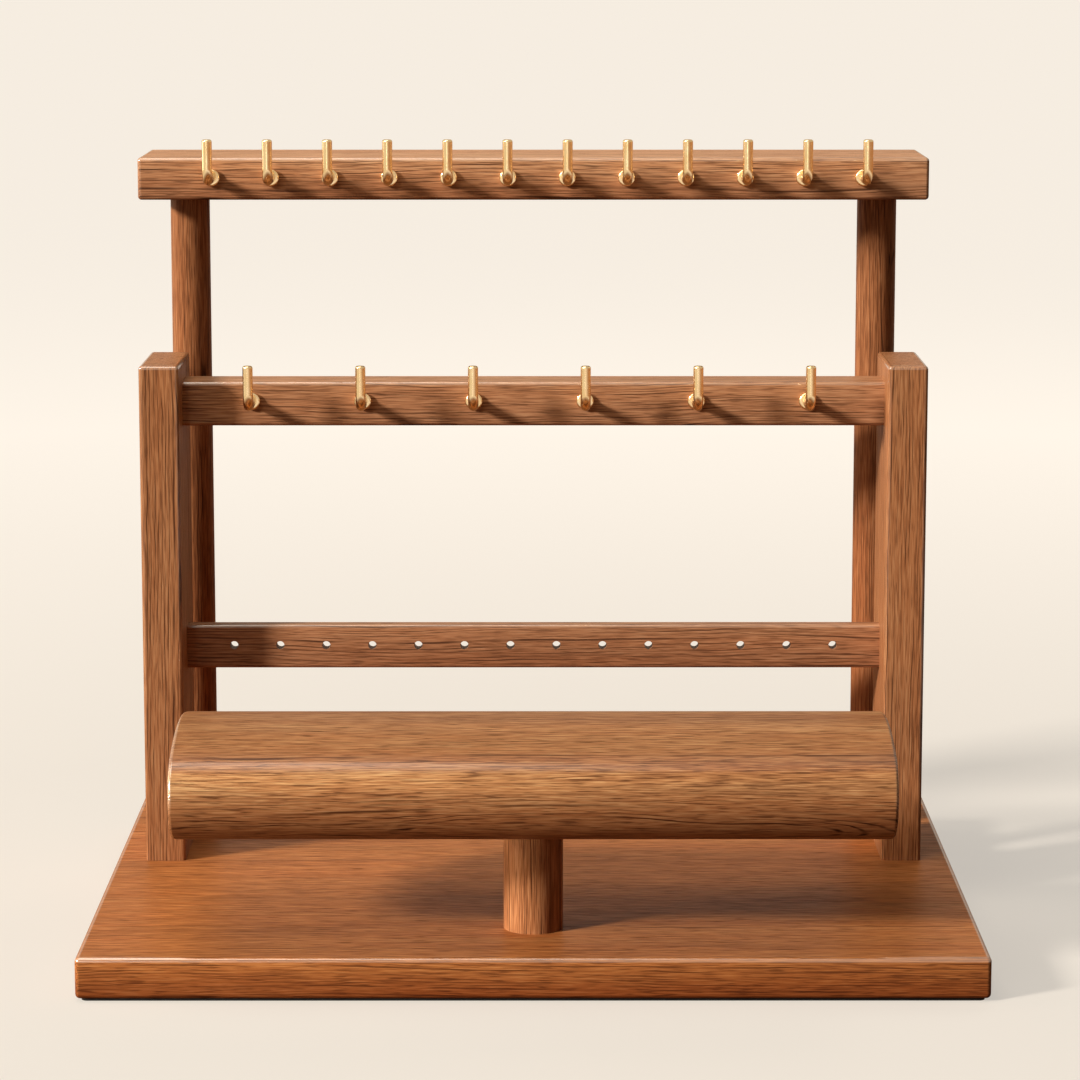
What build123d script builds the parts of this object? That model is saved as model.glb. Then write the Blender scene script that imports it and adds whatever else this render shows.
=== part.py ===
from build123d import *
import os
from math import hypot

# A free-standing jewellery stand in solid wood: a thin base board carries two flat front
# posts, two round rear posts and one short centre post. The rear posts hold a top rail of
# necklace hooks, the front posts hold a middle rail of hooks and a pierced earring rail, and
# the centre post holds a broad oval bar for bracelets. X runs along the rails, Y to the back
# and Z up. The origin lies on the table, under the middle of the whole outline.

# ---- Base board and the soft mat glued beneath it ------------------------------------------
base_side_margin = 10.65        # from the front posts' outer faces to the board's side edges
base_depth = 240.0
base_thickness = 13.9
base_edge_radius = 1.6
mat_thickness = 1.0
mat_inset = 1.8                 # from the board's edges to the mat's edges
mat_corner_radius = 2.0

# ---- Front posts: flat uprights that stand on edge -----------------------------------------
front_post_width = 14.2
front_post_depth = 45.0
front_post_height = 179.0
front_post_span = 278.7         # over both outer faces
front_post_setback = 130.5      # from the board's front edge to the posts' front faces
front_post_edge_radius = 1.3

# ---- Middle rail, between the front posts ---------------------------------------------------
middle_rail_height = 15.8
middle_rail_depth = 18.2
middle_rail_drop = 7.2          # from the tops of the front posts to the top of the rail
middle_rail_edge_radius = 1.2

# ---- Earring rail, let into the front posts -------------------------------------------------
earring_rail_height = 15.9
earring_rail_depth = 6.2
earring_rail_drop = 96.3        # from the tops of the front posts to the top of the rail
earring_rail_edge_radius = 1.0
earring_rail_let_in = 4.0       # how far each end enters its post
earring_hole_diameter = 3.0
earring_hole_count = 14
earring_hole_margin = 16.925    # from the posts' inner faces to the outermost holes
earring_hole_offset_up = 0.4    # above the middle of the rail

# ---- Rear posts and top rail -----------------------------------------------------------------
rear_post_diameter = 14.3
rear_post_height = 234.7        # from the base board to the underside of the top rail
rear_post_inset = 24.5          # from the board's side edges to the axes
rear_post_setback = 191.0       # from the board's front edge to the axes
tenon_diameter = 10.0
tenon_length = 9.0
top_rail_overhang = 16.75       # from the posts' axes to the ends of the rail
top_rail_depth = 47.0
top_rail_height = 15.2
top_rail_edge_radius = 1.3

# ---- Bracelet bar and its post ----------------------------------------------------------------
bar_length = 236.7
bar_depth = 88.0
bar_height = 38.2
bar_crown_radius = 110.0        # of the long arcs above and below
bar_end_radius = 1.2
bar_clear_height = 33.5         # between the base board and the bar's underside
bar_post_diameter = 20.0
bar_post_setback = 39.3         # from the board's front edge to the post's axis
bar_socket_depth = 12.0         # how far the post enters the bar

# ---- Screw hooks --------------------------------------------------------------------------------
wire_diameter = 3.6
hook_reach = 18.0               # from the rail's face to the middle of the upright arm
hook_rise = 14.7                # from the screw axis to the tip of the arm
hook_bend_radius = 4.3          # at the middle of the wire
hook_tip_radius = 0.8
collar_diameter = 6.2
collar_thickness = 1.8
collar_edge_radius = 0.7
shank_length = 11.0
shank_diameter = 3.0
shank_root_diameter = 2.2
shank_pitch = 1.4
hook_offset_up = 0.5            # screw axis above the middle of a rail
middle_hook_raise = 0.6         # the middle hooks sit this much higher still
top_hook_count = 12
top_hook_margin_left = 26.6     # from the end of the top rail to the outermost hook
top_hook_margin_right = 23.6
middle_hook_count = 6
middle_hook_margin_left = 24.75 # from the post's inner face to the outermost hook
middle_hook_margin_right = 27.55

# ---- Wood screws, driven up through the base board, and dowels -------------------------------
screw_length = 30.0
screw_diameter = 3.5
screw_root_diameter = 2.5
screw_pitch = 1.6
screw_head_diameter = 7.0
screw_head_height = 2.4
screw_point_length = 3.0
screw_sunk = 0.4                # the head lies this far inside the underside
screw_hole_diameter = 4.0       # clear hole through the base board
front_screw_spacing = 24.0      # between the two screws of one front post
cross_width = 0.9
cross_span = 3.8
cross_depth = 1.3
dowel_diameter = 5.0
dowel_length = 21.0
dowel_in_post = 9.5
dowel_spacing = 8.5
dowel_chamfer = 0.6

# ---- Clearances -----------------------------------------------------------------------------------
fit_clearance = 0.05            # around a shank, screw, dowel or tenon in its hole
end_clearance = 0.4             # past the end of anything in a blind hole

# ---- Places worked out from the sizes above ---------------------------------------------------
base_width = front_post_span + 2 * base_side_margin
bar_overhang = max(0.0, bar_depth / 2 - bar_post_setback)
base_front = (bar_overhang - base_depth) / 2
base_bottom = mat_thickness
base_top = base_bottom + base_thickness

front_post_y = base_front + front_post_setback + front_post_depth / 2
front_post_x = (front_post_span - front_post_width) / 2
front_post_top = base_top + front_post_height
rail_gap = front_post_span - 2 * front_post_width
middle_rail_z = front_post_top - middle_rail_drop - middle_rail_height / 2
earring_rail_z = front_post_top - earring_rail_drop - earring_rail_height / 2
earring_rail_length = rail_gap + 2 * earring_rail_let_in

rear_post_x = base_width / 2 - rear_post_inset
rear_post_y = base_front + rear_post_setback
top_rail_bottom = base_top + rear_post_height
top_rail_z = top_rail_bottom + top_rail_height / 2
top_rail_length = 2 * (rear_post_x + top_rail_overhang)

bar_y = base_front + bar_post_setback
bar_bottom = base_top + bar_clear_height
bar_z = bar_bottom + bar_height / 2
bar_post_top = bar_bottom + bar_socket_depth

middle_rail_face = front_post_y - middle_rail_depth / 2
top_rail_face = rear_post_y - top_rail_depth / 2
middle_hook_z = middle_rail_z + hook_offset_up + middle_hook_raise
top_hook_z = top_rail_z + hook_offset_up
earring_hole_z = earring_rail_z + earring_hole_offset_up

wire_radius = wire_diameter / 2
hook_hole_radius = shank_diameter / 2 + fit_clearance
hook_hole_depth = shank_length + end_clearance
pilot_radius = screw_diameter / 2 + fit_clearance
pilot_depth = screw_length + screw_sunk - base_thickness + end_clearance
dowel_hole_radius = dowel_diameter / 2 + fit_clearance
dowel_in_rail = dowel_length - dowel_in_post
front_screw_steps = (-front_screw_spacing / 2, front_screw_spacing / 2)
dowel_steps = (-dowel_spacing / 2, dowel_spacing / 2)


def row_places(count, first, last):
    """The X of each of `count` even steps from `first` to `last`."""
    pitch = (last - first) / (count - 1)
    return [first + pitch * step for step in range(count)]


top_hook_places = row_places(
    top_hook_count,
    -top_rail_length / 2 + top_hook_margin_left,
    top_rail_length / 2 - top_hook_margin_right,
)
middle_hook_places = row_places(
    middle_hook_count,
    -rail_gap / 2 + middle_hook_margin_left,
    rail_gap / 2 - middle_hook_margin_right,
)
earring_hole_places = row_places(
    earring_hole_count,
    -rail_gap / 2 + earring_hole_margin,
    rail_gap / 2 - earring_hole_margin,
)


def facing(direction, origin):
    """A plane at `origin` whose normal is `direction` and whose local y is up."""
    across = Vector(0, 0, 1).cross(Vector(*direction))
    return Plane(origin=origin, x_dir=across, z_dir=direction)


def ridged_outline(start, end, root_radius, crest_radius, pitch):
    """Points (distance, radius) of thread-like ridges between two distances."""
    ridges = max(1, int(abs(end - start) / pitch))
    step = (end - start) / ridges
    points = []
    for ridge in range(ridges):
        foot = start + ridge * step
        points.append((foot, root_radius))
        points.append((foot + step / 2, crest_radius))
    points.append((end, root_radius))
    return points


def finish(part, name):
    """Label a finished piece and write its file."""
    part.label = name
    export_step(part, "parts/" + name + ".step")


def build_front_post(side):
    """One flat upright, `side` is -1 on the left and +1 on the right."""
    x = side * front_post_x
    inner_face = side * rail_gap / 2
    toward_rail = (-side, 0, 0)
    with BuildPart() as post:
        with BuildSketch(Plane.XY.offset(base_top)):
            with Locations((x, front_post_y)):
                Rectangle(front_post_width, front_post_depth)
        extrude(amount=front_post_height)
        upright = post.edges().filter_by(Axis.Z)
        top = post.faces().sort_by(Axis.Z)[-1].edges()
        fillet(upright + top, front_post_edge_radius)
        # pilot holes for the two screws that come up through the base board
        with BuildSketch(Plane.XY.offset(base_top)):
            with Locations([(x, front_post_y + step) for step in front_screw_steps]):
                Circle(pilot_radius)
        extrude(amount=pilot_depth, mode=Mode.SUBTRACT)
        # two dowel holes for the middle rail
        with BuildSketch(facing(toward_rail, (inner_face, front_post_y, middle_rail_z))):
            with Locations([(step, 0) for step in dowel_steps]):
                Circle(dowel_hole_radius)
        extrude(amount=-(dowel_in_post + end_clearance), mode=Mode.SUBTRACT)
        # the housing that takes the end of the earring rail
        with BuildSketch(facing(toward_rail, (inner_face, front_post_y, earring_rail_z))):
            RectangleRounded(
                earring_rail_depth + 2 * fit_clearance,
                earring_rail_height + 2 * fit_clearance,
                earring_rail_edge_radius + fit_clearance,
            )
        extrude(amount=-(earring_rail_let_in + fit_clearance), mode=Mode.SUBTRACT)
    return post.part


def build_rear_post(side):
    """One round upright with a turned tenon at its top."""
    x = side * rear_post_x
    with BuildPart() as post:
        with BuildSketch(Plane.XY.offset(base_top)):
            with Locations((x, rear_post_y)):
                Circle(rear_post_diameter / 2)
        extrude(amount=rear_post_height)
        with BuildSketch(Plane.XY.offset(top_rail_bottom)):
            with Locations((x, rear_post_y)):
                Circle(tenon_diameter / 2)
        extrude(amount=tenon_length)
        chamfer(post.faces().sort_by(Axis.Z)[-1].edges(), dowel_chamfer)
        with BuildSketch(Plane.XY.offset(base_top)):
            with Locations((x, rear_post_y)):
                Circle(pilot_radius)
        extrude(amount=pilot_depth, mode=Mode.SUBTRACT)
    return post.part


def build_hook(x, face_y, z):
    """One screw hook: ridged shank, flat collar, peg, bend and upright arm."""
    outward = Vector(0, -1, 0)
    seat = Vector(x, face_y, z)
    side_view = Plane(origin=seat, x_dir=outward, z_dir=(-1, 0, 0))
    root_radius = shank_root_diameter / 2
    collar_radius = collar_diameter / 2
    bend_start = hook_reach - hook_bend_radius
    thread = ridged_outline(
        -shank_length + shank_pitch, 0, root_radius, shank_diameter / 2, shank_pitch
    )
    rim = (collar_thickness - collar_edge_radius, collar_radius - collar_edge_radius)
    with BuildPart() as hook:
        with BuildSketch(side_view):
            with BuildLine():
                edge = CenterArc(rim, collar_edge_radius, 0, 90)
                Polyline((-shank_length, 0), *thread, (0, collar_radius), edge @ 1)
                Polyline(
                    edge @ 0,
                    (collar_thickness, wire_radius),
                    (bend_start, wire_radius),
                    (bend_start, 0),
                    (-shank_length, 0),
                )
            make_face()
        revolve(axis=Axis(seat, outward))
        with BuildLine(side_view) as arm:
            bend = JernArc((bend_start, 0), (1, 0), hook_bend_radius, 90)
            Line(bend @ 1, (hook_reach, hook_rise))
        with BuildSketch(Plane(origin=seat + outward * bend_start, z_dir=outward)):
            Circle(wire_radius)
        sweep(path=arm.wires()[0])
        fillet(hook.faces().sort_by(Axis.Z)[-1].edges(), hook_tip_radius)
    return hook.part


def build_screw(x, y):
    """One countersunk wood screw that points up, its head inside the board's underside."""
    start = Vector(x, y, base_bottom + screw_sunk)
    root_radius = screw_root_diameter / 2
    thread = ridged_outline(
        screw_length - screw_point_length,
        screw_head_height,
        root_radius,
        screw_diameter / 2,
        screw_pitch,
    )
    with BuildPart() as screw:
        with BuildSketch(Plane(origin=start, x_dir=(0, 0, 1), z_dir=(0, -1, 0))):
            with BuildLine():
                Polyline(
                    (0, 0),
                    (screw_length, 0),
                    *thread,
                    (0, screw_head_diameter / 2),
                    close=True,
                )
            make_face()
        revolve(axis=Axis(start, (0, 0, 1)))
        with BuildSketch(Plane(origin=start, z_dir=(0, 0, 1))):
            Rectangle(cross_span, cross_width)
            Rectangle(cross_width, cross_span)
        extrude(amount=cross_depth, mode=Mode.SUBTRACT)
    return screw.part


def build_dowels(side):
    """The two dowels between one front post and the middle rail."""
    start_x = side * (rail_gap / 2 + dowel_in_post)
    with BuildPart() as dowels:
        with BuildSketch(facing((-side, 0, 0), (start_x, front_post_y, middle_rail_z))):
            with Locations([(step, 0) for step in dowel_steps]):
                Circle(dowel_diameter / 2)
        extrude(amount=dowel_length)
        chamfer(dowels.edges().filter_by(GeomType.CIRCLE), dowel_chamfer)
    return dowels.part


os.makedirs("parts", exist_ok=True)

screw_places = [(side * front_post_x, front_post_y + step)
                for side in (-1, 1) for step in front_screw_steps]
screw_places += [(-rear_post_x, rear_post_y), (rear_post_x, rear_post_y), (0, bar_y)]

# ---- Base board: rounded all over, with countersunk screw holes from beneath ------------------
with BuildPart() as base_board:
    with BuildSketch(Plane.XY.offset(base_bottom)):
        with Locations((0, base_front + base_depth / 2)):
            Rectangle(base_width, base_depth)
    extrude(amount=base_thickness)
    fillet(base_board.edges(), base_edge_radius)
    with BuildSketch(Plane.XY.offset(base_bottom)):
        with Locations(screw_places):
            Circle(screw_hole_diameter / 2)
    extrude(amount=base_thickness, mode=Mode.SUBTRACT)
    for place_x, place_y in screw_places:
        with BuildSketch(Plane(origin=(place_x, place_y, base_bottom), x_dir=(0, 0, 1),
                               z_dir=(0, -1, 0))):
            with BuildLine():
                Polyline(
                    (0, 0),
                    (screw_sunk + screw_head_height, 0),
                    (screw_sunk + screw_head_height, screw_root_diameter / 2 + fit_clearance),
                    (screw_sunk, screw_head_diameter / 2 + fit_clearance),
                    (0, screw_head_diameter / 2 + fit_clearance),
                    close=True,
                )
            make_face()
        revolve(axis=Axis((place_x, place_y, base_bottom), (0, 0, 1)), mode=Mode.SUBTRACT)
finish(base_board.part, "base_board")

# ---- Mat: one thin soft sheet that hides the screw heads and rests on the table ----------------
with BuildPart() as anti_slip_mat:
    with BuildSketch():
        with Locations((0, base_front + base_depth / 2)):
            RectangleRounded(
                base_width - 2 * mat_inset, base_depth - 2 * mat_inset, mat_corner_radius
            )
    extrude(amount=mat_thickness)
finish(anti_slip_mat.part, "anti_slip_mat")

# ---- Posts ------------------------------------------------------------------------------------------
for side_name, side in (("left", -1), ("right", 1)):
    finish(build_front_post(side), "front_post_" + side_name)
    finish(build_rear_post(side), "rear_post_" + side_name)
    finish(build_dowels(side), "middle_rail_dowels_" + side_name)

# ---- Top rail: two tenon holes beneath, a row of hook holes in front -----------------------------
with BuildPart() as top_rail:
    with BuildSketch(Plane.XY.offset(top_rail_bottom)):
        with Locations((0, rear_post_y)):
            Rectangle(top_rail_length, top_rail_depth)
    extrude(amount=top_rail_height)
    fillet(top_rail.edges(), top_rail_edge_radius)
    with BuildSketch(Plane.XY.offset(top_rail_bottom)):
        with Locations((-rear_post_x, rear_post_y), (rear_post_x, rear_post_y)):
            Circle(tenon_diameter / 2 + fit_clearance)
    extrude(amount=tenon_length + end_clearance, mode=Mode.SUBTRACT)
    with BuildSketch(facing((0, -1, 0), (0, top_rail_face, top_hook_z))):
        with Locations([(x, 0) for x in top_hook_places]):
            Circle(hook_hole_radius)
    extrude(amount=-hook_hole_depth, mode=Mode.SUBTRACT)
finish(top_rail.part, "top_rail")

# ---- Middle rail: dowel holes in its ends, a row of hook holes in front ----------------------------
with BuildPart() as middle_rail:
    with BuildSketch(Plane(origin=(-rail_gap / 2, front_post_y, middle_rail_z),
                           x_dir=(0, 1, 0), z_dir=(1, 0, 0))):
        RectangleRounded(middle_rail_depth, middle_rail_height, middle_rail_edge_radius)
    extrude(amount=rail_gap)
    for side in (-1, 1):
        end = (side * rail_gap / 2, front_post_y, middle_rail_z)
        with BuildSketch(facing((side, 0, 0), end)):
            with Locations([(step, 0) for step in dowel_steps]):
                Circle(dowel_hole_radius)
        extrude(amount=-(dowel_in_rail + end_clearance), mode=Mode.SUBTRACT)
    with BuildSketch(facing((0, -1, 0), (0, middle_rail_face, middle_hook_z))):
        with Locations([(x, 0) for x in middle_hook_places]):
            Circle(hook_hole_radius)
    extrude(amount=-hook_hole_depth, mode=Mode.SUBTRACT)
finish(middle_rail.part, "middle_rail")

# ---- Earring rail: a thin strip pierced by a row of small holes --------------------------------------
with BuildPart() as earring_rail:
    with BuildSketch(Plane(origin=(-earring_rail_length / 2, front_post_y, earring_rail_z),
                           x_dir=(0, 1, 0), z_dir=(1, 0, 0))):
        RectangleRounded(earring_rail_depth, earring_rail_height, earring_rail_edge_radius)
    extrude(amount=earring_rail_length)
    with BuildSketch(facing((0, -1, 0), (0, front_post_y, earring_hole_z))):
        with Locations([(x, 0) for x in earring_hole_places]):
            Circle(earring_hole_diameter / 2)
    extrude(amount=earring_rail_depth, both=True, mode=Mode.SUBTRACT)
finish(earring_rail.part, "earring_rail")

# ---- Bracelet bar: two long crown arcs that run into a round nose front and back --------------------
half_depth = bar_depth / 2
half_height = bar_height / 2
crown_centre = half_height - bar_crown_radius
nose_radius = (bar_crown_radius**2 - crown_centre**2 - half_depth**2) / (
    2 * (bar_crown_radius - half_depth)
)
nose_centre = half_depth - nose_radius
centre_distance = hypot(nose_centre, crown_centre)
join_y = bar_crown_radius * nose_centre / centre_distance
join_z = crown_centre - bar_crown_radius * crown_centre / centre_distance
with BuildPart() as bracelet_bar:
    with BuildSketch(Plane(origin=(-bar_length / 2, bar_y, bar_z),
                           x_dir=(0, 1, 0), z_dir=(1, 0, 0))):
        with BuildLine():
            ThreePointArc((-join_y, join_z), (0, half_height), (join_y, join_z))
            ThreePointArc((join_y, join_z), (half_depth, 0), (join_y, -join_z))
            ThreePointArc((join_y, -join_z), (0, -half_height), (-join_y, -join_z))
            ThreePointArc((-join_y, -join_z), (-half_depth, 0), (-join_y, join_z))
        make_face()
    extrude(amount=bar_length)
    fillet(bracelet_bar.faces().filter_by(Axis.X).edges(), bar_end_radius)
    with BuildSketch(Plane.XY.offset(base_top)):
        with Locations((0, bar_y)):
            Circle(bar_post_diameter / 2 + fit_clearance)
    extrude(amount=bar_post_top + end_clearance - base_top, mode=Mode.SUBTRACT)
finish(bracelet_bar.part, "bracelet_bar")

# ---- Bracelet post: its top is let into the bar --------------------------------------------------------
with BuildPart() as bracelet_post:
    with BuildSketch(Plane.XY.offset(base_top)):
        with Locations((0, bar_y)):
            Circle(bar_post_diameter / 2)
    extrude(amount=bar_post_top - base_top)
    chamfer(bracelet_post.faces().sort_by(Axis.Z)[-1].edges(), dowel_chamfer)
    with BuildSketch(Plane.XY.offset(base_top)):
        with Locations((0, bar_y)):
            Circle(pilot_radius)
    extrude(amount=pilot_depth, mode=Mode.SUBTRACT)
finish(bracelet_post.part, "bracelet_post")

# ---- Screw hooks ------------------------------------------------------------------------------------------
for number, hook_x in enumerate(top_hook_places, 1):
    finish(build_hook(hook_x, top_rail_face, top_hook_z), f"top_hook_{number:02d}")
for number, hook_x in enumerate(middle_hook_places, 1):
    finish(build_hook(hook_x, middle_rail_face, middle_hook_z), f"middle_hook_{number:02d}")

# ---- Wood screws -------------------------------------------------------------------------------------------
for side_name, side in (("left", -1), ("right", 1)):
    pair = Compound(children=[
        build_screw(side * front_post_x, front_post_y + step) for step in front_screw_steps
    ])
    finish(pair, "front_post_screws_" + side_name)
    finish(build_screw(side * rear_post_x, rear_post_y), "rear_post_screw_" + side_name)
finish(build_screw(0, bar_y), "bracelet_post_screw")
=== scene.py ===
import logging
import math
from dataclasses import dataclass
from enum import Enum
from typing import Callable, Dict, List, Optional, Sequence, Tuple, Union

import bmesh
import bpy
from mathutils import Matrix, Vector


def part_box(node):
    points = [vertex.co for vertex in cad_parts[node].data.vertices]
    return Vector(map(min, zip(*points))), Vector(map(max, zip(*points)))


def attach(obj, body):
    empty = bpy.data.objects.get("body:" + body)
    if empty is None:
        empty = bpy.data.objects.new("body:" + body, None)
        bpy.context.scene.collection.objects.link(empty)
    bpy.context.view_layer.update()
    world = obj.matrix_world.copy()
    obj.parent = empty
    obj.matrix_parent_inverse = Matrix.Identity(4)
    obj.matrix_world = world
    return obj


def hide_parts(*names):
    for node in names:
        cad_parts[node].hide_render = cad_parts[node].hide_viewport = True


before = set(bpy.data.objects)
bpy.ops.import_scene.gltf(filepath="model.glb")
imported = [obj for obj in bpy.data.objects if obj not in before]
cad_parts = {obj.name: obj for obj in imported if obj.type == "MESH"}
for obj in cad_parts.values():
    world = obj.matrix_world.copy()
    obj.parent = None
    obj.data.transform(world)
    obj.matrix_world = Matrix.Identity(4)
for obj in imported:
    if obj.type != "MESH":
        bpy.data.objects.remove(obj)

log = logging.getLogger("jewellery_stand")

Colour = Tuple[float, float, float]
Socket = bpy.types.NodeSocket
Value = Union[float, Socket]

UP = Vector((0.0, 0.0, 1.0))
FRONT = Vector((0.0, -1.0, 0.0))
SIDES: Dict[str, int] = {"left": -1, "right": 1}
PAIR = (-0.5, 0.5)
SINGLE = (0.0,)
SCREWS: Dict[str, Sequence[float]] = {
    "front_post_screws_left": PAIR, "front_post_screws_right": PAIR,
    "rear_post_screw_left": SINGLE, "rear_post_screw_right": SINGLE,
    "bracelet_post_screw": SINGLE}

# every length is in metres
SCREW_SPACING = 0.024
PILOT_RADIUS = 0.0018
PILOT_DEPTH = 0.0169
SOCKET_CLEARANCE = 0.00005
SOCKET_SLACK = 0.0004
ROUND_SIDES = 96
OVERSHOOT = 0.0005  # how far a cutter starts or ends outside what it cuts
CLOSE = 0.0005  # heights that differ by less are counted as one
NEAR = 1e-6  # places that lie closer are the same place
LONG = 0.01  # an edge that runs further than this along X is one of a rail's long edges
FACES_UP = 0.9  # a face whose normal rises above this looks up


def is_long(a: Vector, b: Vector) -> bool:
    """Say whether an edge is one of a rail's long ones.

    Args:
        a: One end of the edge.
        b: Its other end.

    Returns:
        Whether it runs far along X.
    """
    return abs(a.x - b.x) > LONG


# ---- Wiring of materials ------------------------------------------------------------------------


class Wiring:
    """Adds nodes to one node tree and joins them."""

    def __init__(self, tree: bpy.types.NodeTree) -> None:
        """Work on one tree.

        Args:
            tree: The node tree of a material, a world or a group.
        """
        self.tree = tree

    def add(self, kind: str, **settings: object) -> bpy.types.Node:
        """Add a node.

        Args:
            kind: The node's type, without the ShaderNode in front.
            settings: Properties of the node to set.

        Returns:
            The new node.
        """
        prefix = "" if kind.startswith("NodeGroup") else "ShaderNode"
        node = self.tree.nodes.new(prefix + kind)
        for name, value in settings.items():
            setattr(node, name, value)
        return node

    def feed(self, target: Socket, value: object) -> None:
        """Give an input either a link or a value of its own.

        Args:
            target: The input.
            value: A socket to link, or a number, vector or colour.
        """
        if isinstance(value, bpy.types.NodeSocket):
            self.tree.links.new(value, target)
        elif target.type == "RGBA" and len(value) == 3:
            target.default_value = (*value, 1.0)
        else:
            target.default_value = value

    def math(self, operation: str, *values: Value, clamp: bool = False) -> Socket:
        """Work out a sum.

        Args:
            operation: The Math node's operation.
            values: One to three numbers or sockets.
            clamp: Whether the result is kept between 0 and 1.

        Returns:
            The result.
        """
        node = self.add("Math", operation=operation, use_clamp=clamp)
        for target, value in zip(node.inputs, values):
            self.feed(target, value)
        return node.outputs[0]

    def stretch(self, place: Socket, factors: Sequence[float]) -> Socket:
        """Multiply a place by a factor along each axis.

        Args:
            place: A vector.
            factors: Three factors.

        Returns:
            The stretched vector.
        """
        node = self.add("VectorMath", operation="MULTIPLY")
        self.feed(node.inputs[0], place)
        node.inputs[1].default_value = factors
        return node.outputs[0]

    def length(self, place: Socket) -> Socket:
        """Measure how far a place is from the origin.

        Args:
            place: A vector.

        Returns:
            Its length.
        """
        node = self.add("VectorMath", operation="LENGTH")
        self.feed(node.inputs[0], place)
        return node.outputs["Value"]

    def noise(self, place: Value, detail: float = 2.0, roughness: float = 0.5,
              shape: str = "3D") -> Socket:
        """Sample a noise pattern at its natural size.

        Args:
            place: A vector, or a number for a 1D pattern.
            detail: How many finer layers are added.
            roughness: The weight of the finer layers.
            shape: 3D or 1D.

        Returns:
            The noise, from 0 to 1 around 0.5.
        """
        node = self.add("TexNoise", noise_dimensions=shape)
        self.feed(node.inputs["W" if shape == "1D" else "Vector"], place)
        node.inputs["Scale"].default_value = 1.0
        node.inputs["Detail"].default_value = detail
        node.inputs["Roughness"].default_value = roughness
        return node.outputs[0]

    def remap(self, value: Socket, old: Tuple[float, float], new: Tuple[float, float]) -> Socket:
        """Carry a range over to another, with its ends held.

        Args:
            value: The number to carry over.
            old: The range that it comes in.
            new: The range that it goes out in.

        Returns:
            The number in its new range.
        """
        node = self.add("MapRange", clamp=True)
        self.feed(node.inputs["Value"], value)
        for name, number in zip(("From Min", "From Max", "To Min", "To Max"), (*old, *new)):
            node.inputs[name].default_value = number
        return node.outputs[0]

    def ramp(self, value: Socket, stops: Sequence[Tuple[float, Colour]]) -> Socket:
        """Turn a number into a colour.

        Args:
            value: The number, from 0 to 1.
            stops: Places along the ramp and their colours.

        Returns:
            The colour.
        """
        node = self.add("ValToRGB")
        marks = node.color_ramp.elements
        while len(marks) < len(stops):
            marks.new(0.5)
        for mark, (place, colour) in zip(marks, stops):
            mark.position = place
            mark.color = (*colour, 1.0)
        self.feed(node.inputs[0], value)
        return node.outputs[0]

    def mix(self, share: Value, first: object, second: object, way: str = "MIX") -> Socket:
        """Mix two colours.

        Args:
            share: How much of the second colour there is.
            first: The first colour or its socket.
            second: The second colour or its socket.
            way: The Mix node's blend type.

        Returns:
            The mixed colour.
        """
        node = self.add("Mix", data_type="RGBA", blend_type=way)
        self.feed(node.inputs[0], share)
        self.feed(node.inputs[6], first)
        self.feed(node.inputs[7], second)
        return node.outputs[2]

    def place(self) -> Socket:
        """Read the place on the piece.

        Returns:
            The Object coordinates.
        """
        return self.add("TexCoord").outputs["Object"]

    def attribute(self, name: str) -> Socket:
        """Read a number that the piece carries.

        Args:
            name: The attribute's name.

        Returns:
            The number, or 0 where the piece has none.
        """
        return self.add("Attribute", attribute_name=name).outputs["Fac"]

    def bump(self, height: Socket, strength: float, distance: float) -> Socket:
        """Turn a height into a normal.

        Args:
            height: The height.
            strength: How strongly it shows.
            distance: How high 1 is, in metres.

        Returns:
            The normal.
        """
        node = self.add("Bump")
        node.inputs["Strength"].default_value = strength
        node.inputs["Distance"].default_value = distance
        self.feed(node.inputs["Height"], height)
        return node.outputs[0]

    def group(self, tree: bpy.types.NodeTree, **values: object) -> bpy.types.Node:
        """Place a shared group.

        Args:
            tree: The group's tree.
            values: Its inputs by name, with a low line for each space.

        Returns:
            The group's node.
        """
        node = self.add("Group", node_tree=tree)
        for name, value in values.items():
            self.feed(node.inputs[name.replace("_", " ")], value)
        return node


def new_group(name: str, inputs: Sequence[Tuple[str, str]],
              outputs: Sequence[str]) -> Tuple[Wiring, bpy.types.Node, bpy.types.Node]:
    """Start a shared shader node group.

    Args:
        name: The group's name.
        inputs: The name and socket type of each input.
        outputs: The names of its outputs, all numbers.

    Returns:
        The wiring inside the group, and its input and output nodes.
    """
    tree = bpy.data.node_groups.new(name, "ShaderNodeTree")
    for label, kind in inputs:
        tree.interface.new_socket(name=label, in_out="INPUT", socket_type=kind)
    for label in outputs:
        tree.interface.new_socket(name=label, in_out="OUTPUT", socket_type="NodeSocketFloat")
    wiring = Wiring(tree)
    return wiring, wiring.add("NodeGroupInput"), wiring.add("NodeGroupOutput")


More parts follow.
